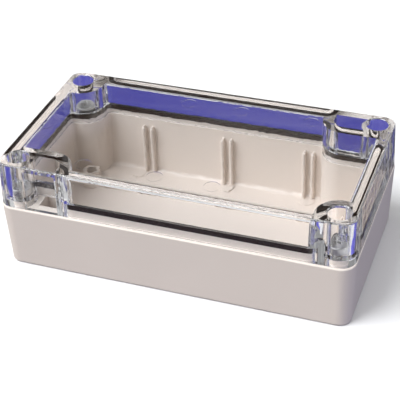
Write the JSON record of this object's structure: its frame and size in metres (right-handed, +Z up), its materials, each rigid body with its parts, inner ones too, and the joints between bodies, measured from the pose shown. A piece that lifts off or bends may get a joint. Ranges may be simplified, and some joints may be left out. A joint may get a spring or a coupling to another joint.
{
  "type": "sealed enclosure with clear lid",
  "caption": "Sealed wall box for electronics with a moulded base, a deep clear screw-down lid, a rubber seal, board posts and card guides.",
  "frame": {"origin": "middle of the underside", "axes": "+X along the length, +Y towards the rear long side, +Z up through the lid"},
  "size_m": [0.12, 0.065, 0.04],
  "materials": {
    "base_plastic": "fine satin moulded surface, warm light grey",
    "clear_plastic": "clear, polished",
    "seal_rubber": "smooth, matt",
    "screw_steel": "bright stainless steel",
    "insert_brass": "plain turned brass"
  },
  "bodies": {
    "base": {"base": "base_plastic", "insert_front_left": "insert_brass", "insert_front_right": "insert_brass", "insert_rear_left": "insert_brass", "insert_rear_right": "insert_brass"},
    "lid": {"lid": "clear_plastic", "seal": "seal_rubber"},
    "lid_screw_front_left": {"lid_screw_front_left": "screw_steel"},
    "lid_screw_front_right": {"lid_screw_front_right": "screw_steel"},
    "lid_screw_rear_left": {"lid_screw_rear_left": "screw_steel"},
    "lid_screw_rear_right": {"lid_screw_rear_right": "screw_steel"}
  },
  "joints": [
    {"name": "lid_lift", "type": "slide", "parent": "base", "child": "lid", "axis": [0, 0, 1], "range_m": [0, 0.04]},
    {"name": "lid_screw_front_left_out", "type": "slide", "parent": "lid", "child": "lid_screw_front_left", "axis": [0, 0, 1], "range_m": [0, 0.0085]},
    {"name": "lid_screw_front_right_out", "type": "slide", "parent": "lid", "child": "lid_screw_front_right", "axis": [0, 0, 1], "range_m": [0, 0.0085]},
    {"name": "lid_screw_rear_left_out", "type": "slide", "parent": "lid", "child": "lid_screw_rear_left", "axis": [0, 0, 1], "range_m": [0, 0.0085]},
    {"name": "lid_screw_rear_right_out", "type": "slide", "parent": "lid", "child": "lid_screw_rear_right", "axis": [0, 0, 1], "range_m": [0, 0.0085]}
  ]
}
